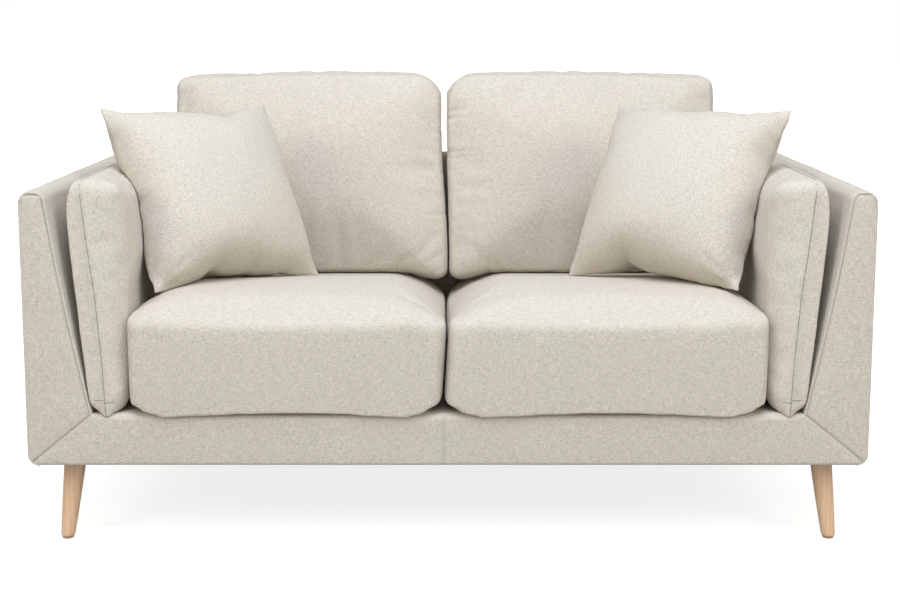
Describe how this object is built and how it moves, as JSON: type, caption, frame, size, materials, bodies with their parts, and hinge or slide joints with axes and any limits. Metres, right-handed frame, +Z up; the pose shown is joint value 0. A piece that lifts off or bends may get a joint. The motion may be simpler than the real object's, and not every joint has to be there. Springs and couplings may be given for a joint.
{
  "type": "two-seat sofa",
  "caption": "Two-seat upholstered sofa with thin slab arms, loose seat, back and side cushions, square throw pillows and short tapered splayed wooden legs",
  "frame": {"origin": "on the floor, at the centre of the overall box", "axes": "+X towards the viewer's right as one faces the sofa, the front faces -Y, +Z is up"},
  "size_m": [1.6, 0.9, 0.872],
  "materials": {
    "upholstery": "sand beige heathered plain weave, matt",
    "leg_wood": "pale beech, clear satin varnish",
    "frame_wood": "sawn softwood",
    "plywood": "raw plywood",
    "hardboard": "brown hardboard",
    "foam": "off-white open-cell foam",
    "fibre_filling": "white loose fibre in a thin inner bag",
    "felt": "grey needled felt",
    "deck_fabric": "plain beige lining cloth",
    "dust_fabric": "thin black non-woven cloth",
    "webbing": "woven elastic belt",
    "spring_steel": "oil-tempered spring wire",
    "fixing_steel": "zinc-plated steel",
    "glide_plastic": "matt brown plastic"
  },
  "bodies": {
    "frame": {"back_centre_former": "plywood", "back_cover": "upholstery", "back_left_former": "plywood", "back_padding": "foam", "back_right_former": "plywood", "back_top_rail": "frame_wood", "back_webbing": "webbing", "centre_rail": "frame_wood", "corner_blocks": "frame_wood", "deck_cloth": "deck_fabric", "dust_cover": "dust_fabric", "front_left_leg": "leg_wood", "front_rail_board": "frame_wood", "front_rail_cover": "upholstery", "front_rail_padding": "foam", "front_right_leg": "leg_wood", "left_arm_cover": "upholstery", "left_arm_fascia": "upholstery", "left_arm_front_former": "plywood", "left_arm_inner_board": "hardboard", "left_arm_outer_board": "hardboard", "left_arm_padding": "foam", "left_arm_rear_former": "plywood", "left_arm_top_rail": "frame_wood", "left_side_rail": "frame_wood", "leg_bolts": "fixing_steel", "leg_glides": "glide_plastic", "rear_left_leg": "leg_wood", "rear_rail_board": "frame_wood", "rear_right_leg": "leg_wood", "right_arm_cover": "upholstery", "right_arm_fascia": "upholstery", "right_arm_front_former": "plywood", "right_arm_inner_board": "hardboard", "right_arm_outer_board": "hardboard", "right_arm_padding": "foam", "right_arm_rear_former": "plywood", "right_arm_top_rail": "frame_wood", "right_side_rail": "frame_wood", "seat_felt": "felt", "seat_springs": "spring_steel", "spring_clips": "fixing_steel", "tee_nuts": "fixing_steel"},
    "left_seat_cushion": {"left_seat_cushion_core": "foam", "left_seat_cushion_cover": "upholstery"},
    "left_back_cushion": {"left_back_cushion_core": "foam", "left_back_cushion_cover": "upholstery"},
    "left_side_cushion": {"left_side_cushion_core": "foam", "left_side_cushion_cover": "upholstery"},
    "left_throw_pillow": {"left_throw_pillow_cover": "upholstery", "left_throw_pillow_filling": "fibre_filling"},
    "right_seat_cushion": {"right_seat_cushion_core": "foam", "right_seat_cushion_cover": "upholstery"},
    "right_back_cushion": {"right_back_cushion_core": "foam", "right_back_cushion_cover": "upholstery"},
    "right_side_cushion": {"right_side_cushion_core": "foam", "right_side_cushion_cover": "upholstery"},
    "right_throw_pillow": {"right_throw_pillow_cover": "upholstery", "right_throw_pillow_filling": "fibre_filling"}
  },
  "joints": [
    {"name": "left_seat_slide", "type": "slide", "parent": "frame", "child": "left_seat_cushion", "axis": [0, -1, 0], "range_m": [0, 0.8]},
    {"name": "left_side_slide", "type": "slide", "parent": "frame", "child": "left_side_cushion", "axis": [0, -1, 0], "range_m": [0, 0.8]},
    {"name": "left_back_lift", "type": "slide", "parent": "frame", "child": "left_back_cushion", "axis": [0, 0.156, 0.9878], "range_m": [0, 0.45]},
    {"name": "left_pillow_lift", "type": "slide", "parent": "frame", "child": "left_throw_pillow", "axis": [0, -0.5, 0.866], "range_m": [0, 0.5]},
    {"name": "right_seat_slide", "type": "slide", "parent": "frame", "child": "right_seat_cushion", "axis": [0, -1, 0], "range_m": [0, 0.8]},
    {"name": "right_side_slide", "type": "slide", "parent": "frame", "child": "right_side_cushion", "axis": [0, -1, 0], "range_m": [0, 0.8]},
    {"name": "right_back_lift", "type": "slide", "parent": "frame", "child": "right_back_cushion", "axis": [0, 0.156, 0.9878], "range_m": [0, 0.45]},
    {"name": "right_pillow_lift", "type": "slide", "parent": "frame", "child": "right_throw_pillow", "axis": [0, -0.5, 0.866], "range_m": [0, 0.5]}
  ]
}
